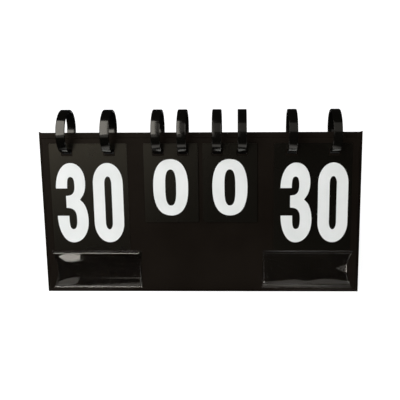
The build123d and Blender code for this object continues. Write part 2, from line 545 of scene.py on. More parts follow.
@dataclass(frozen=True)
class GreyBoardFinish:
    """Pulp board: pressed fibres in two greys."""

    name: str = "grey_pulp_board"
    dark: Colour = (0.30, 0.29, 0.27)
    light: Colour = (0.50, 0.48, 0.44)
    roughness: float = 0.9
    fibre_scale: float = 350
    fibre_stretch: float = 6
    fibre_depth: float = 0.0001

    def build(self) -> bpy.types.Material:
        """Colour and normal follow a noise that is stretched along the fold.

        Returns:
            The material.
        """
        material, nodes = Nodes.of_material(self.name)
        stretch = nodes.add("ShaderNodeMapping")
        stretch.inputs["Scale"].default_value = (1, self.fibre_stretch, self.fibre_stretch)
        nodes.join(nodes.place(), stretch.inputs["Vector"])
        fibre = nodes.noise(stretch.outputs["Vector"], self.fibre_scale, 6.0)
        shader = nodes.add("ShaderNodeBsdfPrincipled")
        nodes.join(nodes.tint(fibre, self.dark, self.light), shader.inputs["Base Color"])
        nodes.join(nodes.bump(fibre, self.fibre_depth), shader.inputs["Normal"])
        shader.inputs["Roughness"].default_value = self.roughness
        nodes.surface(shader.outputs["BSDF"])
        return material


@dataclass(frozen=True)
class ClearFilmFinish:
    """Clear soft film with a faint orange-peel."""

    name: str = "clear_soft_film"
    base: Colour = (0.985, 0.98, 0.97)
    tint: Colour = (1.0, 0.95, 0.86)
    ior: float = 1.5
    roughness: float = 0.018
    haze_scale: float = 60
    peel_scale: float = 220
    peel_depth: float = 0.00002

    def build(self) -> bpy.types.Material:
        """A clear sheet whose roughness and normal drift a little.

        Returns:
            The material.
        """
        material, nodes = Nodes.of_material(self.name)
        place = nodes.place()
        haze = nodes.noise(place, self.haze_scale, 3.0)
        peel = nodes.noise(place, self.peel_scale, 1.0)
        shader = nodes.add("ShaderNodeBsdfPrincipled")
        roughness = nodes.remap(haze, self.roughness, self.roughness * 2, *NOISE_SPAN)
        nodes.join(roughness, shader.inputs["Roughness"])
        nodes.join(nodes.bump(peel, self.peel_depth), shader.inputs["Normal"])
        shader.inputs["Base Color"].default_value = (*self.base, 1)
        shader.inputs["Specular Tint"].default_value = (*self.tint, 1)
        shader.inputs["Transmission Weight"].default_value = 1.0
        shader.inputs["IOR"].default_value = self.ior
        nodes.surface(shader.outputs["BSDF"])
        return material


COVER_FINISH = PlasticFinish(
    "black_cover_film", dark=(0.0056, 0.0040, 0.0029), light=(0.0080, 0.0059, 0.0044),
    smooth=0.34, rough=0.42, grain_scale=1400, grain_depth=0.000012, drift_scale=14,
    specular=0.08, tint=(1.0, 0.86, 0.70),
)
LINING_FINISH = PlasticFinish(
    "black_lining_film", dark=(0.006, 0.0055, 0.005), light=(0.009, 0.0085, 0.008),
    smooth=0.45, rough=0.6, grain_scale=1100, grain_depth=0.00003, drift_scale=20,
    specular=0.4,
)
CARD_FINISH = PlasticFinish(
    "black_card_sheet", dark=(0.0024, 0.0021, 0.0016), light=(0.0034, 0.0030, 0.0024),
    smooth=0.26, rough=0.30, grain_scale=1800, grain_depth=0.00001, drift_scale=10,
    specular=0.36, tint=(1.0, 0.89, 0.68),
)
RING_FINISH = PlasticFinish(
    "black_ring_plastic", dark=(0.0022, 0.0020, 0.0016), light=(0.0034, 0.0031, 0.0025),
    smooth=0.10, rough=0.15, grain_scale=700, grain_depth=0.000008, drift_scale=30,
    specular=0.55, tint=(1.0, 0.95, 0.85),
)
STRAP_FINISH = PlasticFinish(
    "black_strap_film", dark=(0.008, 0.007, 0.006), light=(0.011, 0.010, 0.009),
    smooth=0.4, rough=0.5, grain_scale=1200, grain_depth=0.00003, drift_scale=25,
    specular=0.45,
)
INK_FINISH = PlasticFinish(
    "white_screen_ink", dark=(0.77, 0.79, 0.77), light=(0.83, 0.845, 0.83),
    smooth=0.42, rough=0.55, grain_scale=900, grain_depth=0.000006, drift_scale=40,
    specular=0.4,
)


@dataclass
class Finishes:
    """Every material of the scoreboard, made once."""

    cover: bpy.types.Material = field(default_factory=COVER_FINISH.build)
    lining: bpy.types.Material = field(default_factory=LINING_FINISH.build)
    card: bpy.types.Material = field(default_factory=CARD_FINISH.build)
    ring: bpy.types.Material = field(default_factory=RING_FINISH.build)
    strap: bpy.types.Material = field(default_factory=STRAP_FINISH.build)
    ink: bpy.types.Material = field(default_factory=INK_FINISH.build)
    board: bpy.types.Material = field(default_factory=GreyBoardFinish().build)
    clear: bpy.types.Material = field(default_factory=ClearFilmFinish().build)


# ---------------------------------------------------------------- panels


@dataclass
class CoverFilm:
    """A panel's outer film, drawn over the board and welded to the lining round it."""

    side: Side
    slot_width: float = 11.0
    slot_height: float = 5.9
    sleeve: float = 0.15
    rim: float = 2.2
    rise: float = 1.4
    rim_lines: tuple[float, ...] = (3.8, 2.0, 0.6, 0.0)
    joint: float = 4.5
    joint_flat: float = 0.1
    joint_line: float = 6.4
    groove_place: float = 1.2
    groove_width: float = 0.35
    groove_depth: float = 0.14
    foot: float = 2.0
    wave: float = 0.10
    wave_count: int = 6
    wave_sizes: tuple[float, float] = (7, 16)
    calm_rim: float = 3.6
    calm_run: float = 12
    seed: int = 3

    def relief(self, x: np.ndarray, down: np.ndarray) -> np.ndarray:
        """The film's height above the panel's inner face.

        It is two films on the rim and the cover's face over the board, with a smooth
        step along the board's edges. A weld groove runs along the rim, and slow waves
        cross the board: the mean of sines, each of the place over its size plus a phase.

        Args:
            x: places along the fold.
            down: places down the panel.

        Returns:
            Heights in millimetres.
        """
        sides = LAYOUT.width / 2 - np.abs(x)
        bottom = LAYOUT.length - down
        step = smoothstep((sides - self.rim) / self.rise)
        step = step * smoothstep((bottom - self.rim) / self.rise)
        step = step * smoothstep((down - self.joint - self.joint_flat) / self.rise)
        groove = ridge(np.minimum(sides, bottom), self.groove_place, self.groove_width)
        chance = np.random.default_rng(self.seed + self.side.value)
        angles = chance.uniform(0, math.pi, self.wave_count)
        sizes = chance.uniform(*self.wave_sizes, self.wave_count)
        phases = chance.uniform(0, 6.3, self.wave_count)
        waves = sum(
            np.sin(x * np.cos(angle) / size + down * np.sin(angle) / size + phase) / self.wave_count
            for angle, size, phase in zip(angles, sizes, phases, strict=True)
        )
        border = np.minimum(sides, np.minimum(bottom, down))
        calm = smoothstep((border - self.calm_rim) / self.calm_run)
        flat = 2 * LAYOUT.film
        raised = (LAYOUT.cover_face - flat) * step
        return flat + raised - self.groove_depth * groove * (1 - step) + self.wave * waves * calm

    def grid_lines(self, top: float, low: float) -> tuple[np.ndarray, np.ndarray]:
        """The grid's lines, close together where the film bends and along every slot.

        The rim's lines lie round the step and the weld groove, and the joint's line
        lies where the step at the fold has ended.

        Args:
            top: the slots' upper edge, down the panel.
            low: their lower edge.

        Returns:
            The lines' places along the fold, and down the panel.
        """
        slot, half, end = self.slot_width / 2, LAYOUT.width / 2, LAYOUT.length
        around = (-slot - self.sleeve, -slot, slot, slot + self.sleeve)
        edges = sorted(x + edge for x in LAYOUT.ring_places for edge in around)
        rim = [half - line for line in self.rim_lines]
        steps = [0.3, 0.15, 0.3] + [2.4] * (len(edges) + 1) + [0.3, 0.15, 0.3]
        along = spaced([*(-v for v in reversed(rim)), *edges, *rim], steps)
        slots = [top - self.sleeve, top, low, low + self.sleeve]
        breaks = [self.joint, self.joint_line, *slots, *(end - line for line in self.rim_lines)]
        return along, spaced(breaks, [0.15, 2.4, 0.3, 2.0, 0.3, 2.4, 0.15, 0.15, 0.3])

    def build(self, material: bpy.types.Material) -> bpy.types.Object:
        """The film as a closed sheet with the rings' slots left open.

        Round each slot a thin sleeve goes down through the board to the lining. The
        rim's foot is slanted so that it stands level on the table.

        Args:
            material: the film's finish.

        Returns:
            The piece.
        """
        touch = 0.01
        slot, places = self.slot_width / 2, np.array(LAYOUT.ring_places)
        middle = float(LAYOUT.ring_line(LAYOUT.cover_face / 2))
        top, low = middle - self.slot_height / 2, middle + self.slot_height / 2
        x, down = self.grid_lines(top, low)
        grid_x, grid_down = np.meshgrid(x, down)
        outer = self.relief(grid_x, grid_down)
        aside = np.abs(grid_x[..., None] - places).min(-1)
        beyond = np.abs(grid_down - middle) - self.slot_height / 2
        mouth = (aside < slot + touch) & (beyond < touch)
        inner = np.where(mouth, LAYOUT.film, outer - LAYOUT.film)
        slope = math.tan(math.radians(LAYOUT.lean))
        foot = smoothstep((grid_down - LAYOUT.length + self.foot) / self.foot)
        shells = [
            LAYOUT.place(self.side, grid_x, grid_down + foot * out * slope, out)
            for out in (outer, inner)
        ]
        centres_x, centres_down = (x[1:] + x[:-1]) / 2, (down[1:] + down[:-1]) / 2
        near = np.abs(centres_x[None, :] - places[:, None]).min(0) < slot
        hole = near[None, :] & ((centres_down > top) & (centres_down < low))[:, None]
        piece = sheet_mesh(f"{self.side.word}_cover_film", *shells, ~hole)
        return finish_piece(piece, material, self.side.body, [f"{self.side.word}_cover"])


@dataclass
class CreaseFilm:
    """The film that bends over the fold and joins the two covers."""

    joint: float = 4.5
    radius: float = 1.1
    thickness: float = 0.95
    edge_height: float = 0.06
    sunk: float = 0.3
    ear_height: float = 1.7
    ear_length: float = 4.0
    ear_power: float = 1.5
    ear_spread: float = 3.2
    ear_pinch: float = 0.35

    def section(self, radius: float, flat: np.ndarray, out: np.ndarray) -> np.ndarray:
        """One face of the film across the fold, from the front's joint to the back's.

        Args:
            radius: the radius of the arc over the fold's axis.
            flat: places down each panel.
            out: the face's heights there above the panel's inner face.

        Returns:
            The y and z of each point.
        """
        turn = math.radians(LAYOUT.lean)
        angle = np.linspace(turn, math.pi - turn, 17)
        legs = [LAYOUT.place(side, 0, flat, out)[:, 1:] / METRES for side in Side]
        arc = np.stack(
            [-radius * np.cos(angle), LAYOUT.fold_height - self.sunk + radius * np.sin(angle)], -1
        )
        return np.concatenate([legs[0], arc, legs[1][::-1]])

    def build(self, material: bpy.types.Material) -> bpy.types.Object:
        """The crease as a section carried along the fold.

        The section is straight down each panel, and an arc of 140 degrees over the
        fold's axis. Near each end the arc rises to the weld's pinched tip: its height
        is a power of the nearness to the end, times a bell over the section. The inner
        face steps up from the fold to the lining's face.

        Args:
            material: the film's finish.

        Returns:
            The piece, which goes over from one panel to the other and rides on no body.
        """
        half = LAYOUT.width / 2
        x = spaced([-half, -half + self.ear_length, half - self.ear_length, half], [0.25, 3.0, 0.25])
        nearness = np.clip(1 - (half - np.abs(x)) / self.ear_length, 0, 1)
        ear = nearness**self.ear_power * self.ear_height
        flat = np.linspace(self.joint, self.sunk, 12)[:-1]
        share = smoothstep((flat - 1.0) / 0.8)
        outer = self.section(self.radius, flat, np.ones_like(flat))
        under = self.edge_height + (LAYOUT.film - self.edge_height) * share
        inner = self.section(self.radius - self.thickness, flat, under)
        count = len(outer)
        lift = ridge(np.arange(count), (count - 1) / 2, self.ear_spread)
        grids = []
        for line in (outer, inner):
            grid = np.zeros((len(x), count, 3))
            pinch = self.ear_pinch * lift[None, :] * (ear / self.ear_height)[:, None]
            grid[..., 0] = x[:, None]
            grid[..., 1] = line[None, :, 0] * (1 - pinch)
            grid[..., 2] = line[None, :, 1] + ear[:, None] * lift[None, :]
            grids.append(grid * METRES)
        piece = sheet_mesh("fold_crease_film", *grids)
        finish_piece(piece, material, None, ["fold_spine"])
        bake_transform(piece)
        return piece


# ---------------------------------------------------------------- rings


@dataclass
class FlatRing:
    """A flat band over the fold, with rounded edges and the clasp's lap joint below."""

    number: int
    place: float
    inner: float = 23.0
    thickness: float = 2.4
    width: float = 10.5
    edge: float = 0.7
    rounding: float = 0.22
    slit: float = 0.4
    lap: float = 5.0
    depth: float = 0.9
    hair: float = 0.001

    def section(self) -> np.ndarray:
        """A rectangle with bevelled corners whose two edges are rounded, as (x, radius).

        Each corner is two eighths of a circle with a straight bevel between them.

        Returns:
            The section's points in order.
        """
        arc = np.radians([0, 15, 30, 45, 45, 60, 75, 90])
        first = np.arange(len(arc)) < 4
        corner = self.rounding * np.stack([np.cos(arc), np.sin(arc)], -1)
        corner += (self.edge - self.rounding) * np.stack([first, ~first], -1)
        flat_x, flat_r = self.width / 2 - self.edge, self.thickness / 2 - self.edge
        parts = []
        for turn, (sx, sr) in enumerate(((1, 1), (-1, 1), (-1, -1), (1, -1))):
            parts.append(corner @ self.quarter(turn) + [sx * flat_x, sr * flat_r])
        corners = np.concatenate(parts)
        ahead = np.roll(corners, -1, 0)
        runs = np.stack([corners, (corners + ahead) / 2], 1).reshape(-1, 2)
        return runs + np.array([0, self.inner + self.thickness / 2])

    @staticmethod
    def quarter(turns: int) -> np.ndarray:
        """The matrix that turns points written as rows by this many quarters."""
        cosine, sine = ((1, 0), (0, 1), (-1, 0), (0, -1))[turns]
        return np.array([[cosine, sine], [-sine, cosine]])

    def build(self, material: bpy.types.Material) -> bpy.types.Object:
        """The section carried round the rings' axis, cut in by the two slits.

        A point lies at its radius times the cosine and sine of the turn. The first slit
        is cut from outside and the second from inside, by moving points in or out. A
        hair is an angle smaller than any step, in radians.

        Args:
            material: the ring's finish.

        Returns:
            The piece.
        """
        reach = self.inner + self.thickness
        gap, lap = self.slit / reach, self.lap / 2 / reach
        low = -math.pi / 2
        before = [low - math.pi + self.hair, low - lap - gap, low - lap, low - lap + 2 * self.hair]
        after = [low + lap - 2 * self.hair, low + lap, low + lap + gap, low + math.pi]
        steps = [0.028, 0.012, 0.01, 0.02, 0.01, 0.012, 0.028]
        turn = spaced([*before, *after], steps)[:-1]
        section = self.section()
        radius = np.broadcast_to(section[:, 1], (len(turn), len(section))).copy()
        middle = self.inner + self.thickness / 2
        past = turn[:, None] - low
        first = (past > -lap - gap + self.hair) & (past < -lap + self.hair)
        second = (past > lap - self.hair) & (past < lap + gap - self.hair)
        outside, inside = first & (section[:, 1] > middle), second & (section[:, 1] < middle)
        radius[outside] = np.minimum(radius, reach - self.depth)[outside]
        radius[inside] = np.maximum(radius, self.inner + self.depth)[inside]
        x = np.broadcast_to(section[:, 0] + self.place, radius.shape)
        y = -radius * np.cos(turn)[:, None]
        z = LAYOUT.ring_axis_height + radius * np.sin(turn)[:, None]
        points = np.stack([x, y, z], -1).reshape(-1, 3) * METRES
        faces = tube_faces(len(turn), len(section))
        ring = f"ring_{self.number}"
        piece = make_mesh(f"{ring}_band", points, [faces])
        return finish_piece(piece, material, ring, [ring])


# ---------------------------------------------------------------- numerals


def curve(points: Sequence[Point], count: int) -> np.ndarray:
    """A straight run through two points, or a cubic curve with two pull points.

    The cubic is (1-t)^3 a + 3 (1-t)^2 t b + 3 (1-t) t^2 c + t^3 d.

    Args:
        points: two or four points.
        count: how many samples, the last point left out.

    Returns:
        The samples, as x and down.
    """
    p = np.array(points, float)
    t = np.arange(count)[:, None] / count
    if len(p) == 2:
        return p[0] + (p[1] - p[0]) * t
    return (1 - t) ** 3 * p[0] + 3 * (1 - t) ** 2 * t * p[1] + 3 * (1 - t) * t**2 * p[2] + t**3 * p[3]


def edge_line(pieces: Sequence[Sequence[Point]], closed: bool, count: int = 14) -> np.ndarray:
    """One edge of a numeral's stroke: runs and curves, each from where the last ended.

    Args:
        pieces: the start, then for each piece its end, or two pull points and its end.
        closed: whether the stroke ends where it began.
        count: samples on each piece.

    Returns:
        The samples in order.
    """
    start = pieces[0][0]
    found = []
    for piece in pieces[1:]:
        found.append(curve([start, *piece], count))
        start = piece[-1]
    if not closed:
        found.append(np.array([start], float))
    return np.concatenate(found)


def oval(
    width: float, height: float, run: float, pull: float, x: float = 0.0, top: float = 0.0
) -> list[list[Point]]:
    """A closed outline of four quarter curves, with a straight run down each side.

    Args:
        width: across.
        height: down.
        run: length of each straight side.
        pull: how far each quarter's pull points reach, from 0 to 1.
        x: the left edge.
        top: the top edge.

    Returns:
        Pieces for edge_line, starting at the top and going round by the left.
    """
    a, b = width / 2, (height - run) / 2
    right, low = x + width, top + height
    upper, lower = top + b, low - b
    k = pull
    return [
        [(x + a, top)],
        [(x + a - k * a, top), (x, upper - k * b), (x, upper)],
        [(x, lower)],
        [(x, lower + k * b), (x + a - k * a, low), (x + a, low)],
        [(x + a + k * a, low), (right, lower + k * b), (right, lower)],
        [(right, upper)],
        [(right, upper - k * b), (x + a + k * a, top), (x + a, top)],
    ]


@dataclass(frozen=True)
class Numeral:
    """One heavy, narrow numeral: a single stroke between an outer and an inner edge."""

    width: float
    outer: Sequence[Sequence[Point]]
    inner: Sequence[Sequence[Point]]
    closed: bool = False

    def stroke(self, across: int = 4) -> np.ndarray:
        """The stroke as a grid: along it, and straight across from edge to edge.

        Args:
            across: how many cells across.

        Returns:
            A grid of x and down.
        """
        outer, inner = (edge_line(edge, self.closed) for edge in (self.outer, self.inner))
        if self.closed:
            outer, inner = (np.concatenate([line, line[:1]]) for line in (outer, inner))
        share = np.linspace(0, 1, across + 1)[None, :, None]
        return outer[:, None, :] * (1 - share) + inner[:, None, :] * share


TALL_THREE = Numeral(
    37.2,
    [
        [(0.0, 31.1)],
        [(0.2, 12.5), (8.0, 0.0), (18.2, 0.0)],
        [(28.6, 0.0), (35.1, 10.2), (35.1, 23.5)],
        [(35.1, 31.5), (33.6, 37.0), (31.0, 40.9)],
        [(28.0, 45.3)],
        [(30.9, 48.1)],
        [(34.6, 52.2), (37.2, 60.4), (37.2, 71.5)],
        [(37.2, 87.0), (29.0, 98.8), (18.0, 98.8)],
        [(7.6, 98.8), (0.3, 84.8), (0.3, 65.2)],
    ],
    [
        [(13.4, 31.1)],
        [(13.4, 21.6), (14.0, 17.0), (17.8, 17.0)],
        [(21.4, 17.0), (22.2, 21.6), (22.2, 28.0)],
        [(22.2, 36.6), (19.4, 40.3), (11.5, 40.3)],
        [(11.5, 47.8)],
        [(11.5, 55.2)],
        [(19.2, 55.2), (23.4, 58.2), (23.4, 68.6)],
        [(23.4, 77.8), (22.2, 82.0), (18.5, 82.0)],
        [(14.6, 82.0), (14.1, 76.6), (14.1, 65.2)],
    ],
)
TALL_NOUGHT = Numeral(
    35.6, oval(35.6, 98.6, 48.0, 0.56), oval(8.4, 66.0, 48.0, 0.56, 13.6, 16.4), True
)
TALL_NINE = Numeral(
    36.0,
    [
        [(0.5, 70.0)],
        [(0.5, 88.0), (7.5, 98.8), (17.8, 98.8)],
        [(29.0, 98.8), (36.0, 88.0), (36.0, 74.0)],
        [(36.0, 60.0)],
        [(36.0, 42.0)],
        [(36.0, 25.0)],
        [(36.0, 10.0), (28.5, 0.0), (18.0, 0.0)],
        [(7.5, 0.0), (0.0, 10.0), (0.0, 25.0)],
        [(0.0, 39.0)],
        [(0.0, 53.0), (6.0, 60.6), (15.0, 60.6)],
        [(22.2, 60.0)],
    ],
    [
        [(14.2, 70.0)],
        [(14.2, 78.5), (15.0, 82.2), (18.2, 82.2)],
        [(21.4, 82.2), (22.2, 78.5), (22.2, 72.0)],
        [(22.2, 60.0)],
        [(22.2, 38.0)],
        [(22.2, 24.0)],
        [(22.2, 19.5), (21.0, 16.6), (18.0, 16.6)],
        [(15.0, 16.6), (13.8, 19.5), (13.8, 24.0)],
        [(13.8, 37.0)],
        [(13.8, 42.0), (15.0, 45.2), (17.6, 45.2)],
        [(20.6, 45.2), (22.2, 43.0), (22.2, 38.0)],
    ],
)
TALL_TWO = Numeral(
    35.8,
    [
        [(0.3, 32.0)],
        [(0.3, 12.0), (8.0, 0.0), (18.2, 0.0)],
        [(29.0, 0.0), (35.8, 11.0), (35.8, 26.5)],
        [(35.8, 48.0), (21.0, 62.0), (17.2, 80.0)],
        [(16.6, 83.0)],
        [(35.4, 83.0)],
    ],
    [
        [(13.8, 32.0)],
        [(13.8, 21.6), (14.2, 17.0), (18.0, 17.0)],
        [(21.4, 17.0), (22.2, 21.6), (22.2, 29.0)],
        [(22.2, 47.0), (0.4, 66.0), (0.4, 88.0)],
        [(0.4, 98.6)],
        [(35.4, 98.6)],
    ],
)
ROUND_NOUGHT = Numeral(
    41.5, oval(41.5, 69.2, 2.0, 0.65), oval(12.9, 44.4, 8.0, 0.68, 14.3, 12.5), True
)
ROUND_ONE = Numeral(
    23.0,
    [[(11.5, 0.0)], [(9.5, 6.0), (6.0, 9.6), (0.0, 11.0)], [(0.0, 23.0)],
     [(3.5, 22.4), (6.0, 21.2), (8.2, 19.2)], [(8.2, 70.8)]],
    [[(23.0, 0.0)], [(23.0, 8.0)], [(23.0, 16.0)], [(23.0, 21.0)], [(23.0, 70.8)]],
)


# ---------------------------------------------------------------- cards


@dataclass(frozen=True)
class CardSize:
    """One kind of card: its sheet, its rings' span, and how far down the panel its
    number begins on the front's top card."""

    width: float
    length: float
    ring_span: float
    number_top: float


CARD_SIZES = {
    Score.POINTS: CardSize(92.0, 131.7, 50.2, 35.2),
    Score.SETS: CardSize(64.0, 96.4, 29.4, 30.4),
}


@dataclass(frozen=True)
class Station:
    """One score: two rings and the cards on them."""

    name: str
    score: Score
    middle: float
    number_shift: float

    @property
    def size(self) -> CardSize:
        """The size of its cards."""
        return CARD_SIZES[self.score]


STATIONS = (
    Station("left_points", Score.POINTS, -132.6, -0.1),
    Station("left_sets", Score.SETS, -34.8, -0.7),
    Station("right_sets", Score.SETS, 34.8, -0.1),
    Station("right_points", Score.POINTS, 132.6, 2.0),
)

# How many cards lie still under each top one.
CARDS_BELOW = {
    (Side.FRONT, Score.POINTS): 0,
    (Side.BACK, Score.POINTS): 30,
    (Side.FRONT, Score.SETS): 7,
    (Side.BACK, Score.SETS): 0,
}


def rounded_rectangle(width: float, height: float, radius: float, steps: int) -> np.ndarray:
    """A rounded rectangle about the origin: a quarter circle about each corner's middle.

    Args:
        width: along the first coordinate.
        height: along the second.
        radius: of the corners.
        steps: points on each corner.

    Returns:
        A closed line of points.
    """
    arc = np.linspace(0, math.pi / 2, steps)
    reach = np.array([width / 2 - radius, height / 2 - radius])
    corners = []
    for turn, signs in enumerate(((1, 1), (-1, 1), (-1, -1), (1, -1))):
        angle = arc + turn * math.pi / 2
        corners.append(signs * reach + radius * np.stack([np.cos(angle), np.sin(angle)], -1))
    return np.concatenate(corners)


@dataclass(frozen=True)
class CardStock:
    """How the cards are cut, and how high each lies on its panel."""

    thickness: float = 0.16
    air: float = 0.03
    turn_clearance: float = 0.2
    corner: float = 1.5
    top_margin: float = 9.7
    slot_width: float = 13.7
    slot_height: float = 8.2
    slot_drop: float = 1.4
    slot_corner: float = 0.8

    def pack_heights(self, side: Side, score: Score) -> np.ndarray:
        """The undersides of the cards that lie still."""
        count = CARDS_BELOW[side, score]
        return LAYOUT.cover_face + self.air + np.arange(count) * (self.thickness + self.air)

    def top_height(self, side: Side, score: Score) -> float:
        """The underside of the top card."""
        stack = CARDS_BELOW[side, score] * (self.thickness + self.air)
        return LAYOUT.cover_face + stack + self.turn_clearance

    def ring_line(self, height: Values) -> Values:
        """How far down the panel a card at this height crosses the rings' middle."""
        return LAYOUT.ring_line(height + self.thickness / 2)

    def sheet(self, size: CardSize) -> tuple[list[np.ndarray], np.ndarray]:
        """A card's outline and slots, measured from the middle of its ring line.

        Args:
            size: which kind of card it is.

        Returns:
            The closed lines, and the triangles that fill the sheet between them.
        """
        outline = rounded_rectangle(size.width, size.length, self.corner, 5)
        outline = outline + [0, size.length / 2 - self.top_margin]
        slot = rounded_rectangle(self.slot_width, self.slot_height, self.slot_corner, 4)
        places = [[side * size.ring_span / 2, self.slot_drop] for side in (-1, 1)]
        lines = [outline, *(slot + place for place in places)]
        flat = [[(x, y, 0.0) for x, y in line] for line in lines]
        return lines, np.array(tessellate_polygon(flat))


@dataclass
class CardPack:
    """The cards that lie still on a panel, squared up by hand and not quite even."""

    side: Side
    station: Station
    stock: CardStock
    spread: float = 0.22
    twist: float = 0.0016
    seed: int = 11

    def build(self, material: bpy.types.Material) -> bpy.types.Object | None:
        """Every sheet of the pack in one mesh.

        A sheet is its flat outline at two heights with a wall between. Each is moved a
        little along the fold, down the panel and round, by a seeded chance.

        Args:
            material: the cards' finish.

        Returns:
            The piece, or None where no card lies still.
        """
        heights = self.stock.pack_heights(self.side, self.station.score)
        if not len(heights):
            return None
        lines, triangles = self.stock.sheet(self.station.size)
        flat = np.concatenate(lines)
        chance = np.random.default_rng(self.seed + round(self.station.middle + LAYOUT.width))
        slide, drop = chance.uniform(-1, 1, (2, len(heights), 1)) * self.spread
        twist = chance.uniform(-1, 1, (len(heights), 1)) * self.twist
        x = self.station.middle + flat[:, 0] + slide - twist * flat[:, 1]
        down = self.stock.ring_line(heights)[:, None] + flat[:, 1] + drop + twist * flat[:, 0]
        layers = [
            LAYOUT.place(self.side, x, down, heights[:, None] + out)
            for out in (0.0, self.stock.thickness)
        ]
        points = np.stack(layers, 1)
        count = len(flat)
        starts = np.arange(len(heights))[:, None, None] * 2 * count
        faces = [triangles[:, ::-1], triangles + count, self.walls(lines, count)]
        if self.facing(points[0, 1], triangles) * self.side.value < 0:
            faces = [part[:, ::-1] for part in faces]
        sheets = [(part + starts).reshape(-1, part.shape[1]) for part in faces]
        name = f"{self.station.name}_{self.side.word}_pack"
        piece = make_mesh(f"{name}_sheets", points.reshape(-1, 3), sheets)
        return finish_piece(piece, material, self.side.body, [name])

    @staticmethod
    def facing(points: np.ndarray, triangles: np.ndarray) -> float:
        """The triangles' normals, added up along Y."""
        a, b, c = (points[triangles[:, i]] for i in range(3))
        return float(np.cross(b - a, c - a)[:, 1].sum())

    @staticmethod
    def walls(lines: Sequence[np.ndarray], count: int) -> np.ndarray:
        """The wall quads of one sheet, between its two layers of points.

        Args:
            lines: the outline and the slots.
            count: points in one layer.

        Returns:
            The quads, turned the way the outline's run goes.
        """
        quads, start = [], 0
        for number, line in enumerate(lines):
            here = np.arange(start, start + len(line))
            ahead = np.roll(here, -1)
            quad = np.stack([here, ahead, ahead + count, here + count], -1)
            quads.append(quad if number == 0 else quad[:, ::-1])
            start += len(line)
        return np.concatenate(quads)


@dataclass
class PrintedNumber:
    """A number printed on one face of a card.

    The height is the face's, above the panel's inner face, and the top is where the
    number begins, down the panel.
    """

    name: str
    side: Side
    station: Station
    numerals: Sequence[Numeral]
    body: str
    height: float
    top: float
    outward: bool = True
    gap: float = 7.2
    ink: float = 0.03
    bite: float = 0.01

    def build(self, material: bpy.types.Material) -> bpy.types.Object:
        """Each numeral as a thin closed layer of ink on the card's face.

        The number reads from the side that the face looks to, so its x runs along the
        fold for a face seen from the front, and against it for one seen from behind.

        Args:
            material: the ink.

        Returns:
            The piece.
        """
        reads = 1 if (self.side is Side.FRONT) == self.outward else -1
        out = 1 if self.outward else -1
        total = sum(n.width for n in self.numerals) + self.gap * (len(self.numerals) - 1)
        x, parts = -total / 2 + self.station.number_shift * reads, []
        for numeral in self.numerals:
            grid = numeral.stroke()
            along = self.station.middle + reads * (x + grid[..., 0])
            surfaces = [
                LAYOUT.place(self.side, along, self.top + grid[..., 1], self.height + out * layer)
                for layer in (self.ink, -self.bite)
            ]
            parts.append(closed_shell(*surfaces))
            x += numeral.width + self.gap
        points, faces = joined(parts)
        piece = make_mesh(self.name, points, [faces])
        return finish_piece(piece, material, self.body)


THIRTY = (TALL_THREE, TALL_NOUGHT)
TWENTY_NINE = (TALL_TWO, TALL_NINE)

# What a stack shows: its top card's face, that card's rear face, and the next card's face.
SHOWN = {
    (Side.FRONT, Score.POINTS): (THIRTY, (), ()),
    (Side.BACK, Score.POINTS): (THIRTY, TWENTY_NINE, TWENTY_NINE),
    (Side.FRONT, Score.SETS): ((ROUND_NOUGHT,), (ROUND_ONE,), (ROUND_ONE,)),
    (Side.BACK, Score.SETS): ((ROUND_NOUGHT,), (), ()),
}


@dataclass
class Cards:
    """All the cards: the eight that turn, the packs, and every printed number in sight."""

    stock: CardStock = field(default_factory=CardStock)

    def build(self, finishes: Finishes, nodes: dict[str, bpy.types.Object]) -> None:
        """Dresses the top cards, and makes the packs and the numbers.

        Args:
            finishes: the materials.
            nodes: the frame's nodes.
        """
        for station in STATIONS:
            for side in Side:
                dress(nodes[f"{station.name}_{side.word}_card"], finishes.card)
                CardPack(side, station, self.stock).build(finishes.card)
                self.print_numbers(station, side, finishes.ink)

    def number_top(self, station: Station, height: float) -> float:
        """Where a number begins on the card whose underside is at this height.

        It is as far from the card's ring line as on the front's top card.

        Args:
            station: the score.
            height: the card's underside, above the panel's inner face.

        Returns:
            A place down the panel.
        """
        front = self.stock.top_height(Side.FRONT, station.score)
        first = float(self.stock.ring_line(front))
        return station.size.number_top - first + float(self.stock.ring_line(height))

    def print_numbers(self, station: Station, side: Side, ink: bpy.types.Material) -> None:
        """The numbers on the top card's two faces and on the card under it.

        Args:
            station: the score.
            side: the panel that the cards lie on.
            ink: the material.
        """
        face, rear, under = SHOWN[side, station.score]
        label = f"{station.name}_{side.word}"
        card, thick = f"{label}_card", self.stock.thickness
        base = self.stock.top_height(side, station.score)
        top = self.number_top(station, base)
        number = PrintedNumber(f"{label}_number", side, station, face, card, base + thick, top)
        number.build(ink)
        if rear:
            name = f"{label}_rear_number"
            PrintedNumber(name, side, station, rear, card, base, top, outward=False).build(ink)
        if under:
            below = float(self.stock.pack_heights(side, station.score)[-1])
            name, top = f"{label}_next_number", self.number_top(station, below)
            PrintedNumber(name, side, station, under, side.body, below + thick, top).build(ink)


# ---------------------------------------------------------------- name pockets


@dataclass(frozen=True)
class Fold:
    """A slack fold of a pocket's film: a leaf-shaped facet that rises down the panel.

    Its edges are points (place along the pocket from the panel's middle, place down the
    panel), in order along the pocket.
    """

    upper: Sequence[Point]
    lower: Sequence[Point]
    slope: float
    fade: float

    def height(self, x: np.ndarray, down: np.ndarray) -> np.ndarray:
        """The fold's height.

        It is the slope times the way down from the upper edge, held at the lower edge,
        and it fades by a smooth step below that.

        Args:
            x: places along the pocket.
            down: places down the panel.

        Returns:
            Heights in millimetres.
        """
        top, low = (np.interp(x, *np.array(edge).T) for edge in (self.upper, self.lower))
        run = np.clip(down - top, 0, np.maximum(low - top, 0))
        return self.slope * run * (1 - smoothstep((down - low) / self.fade))


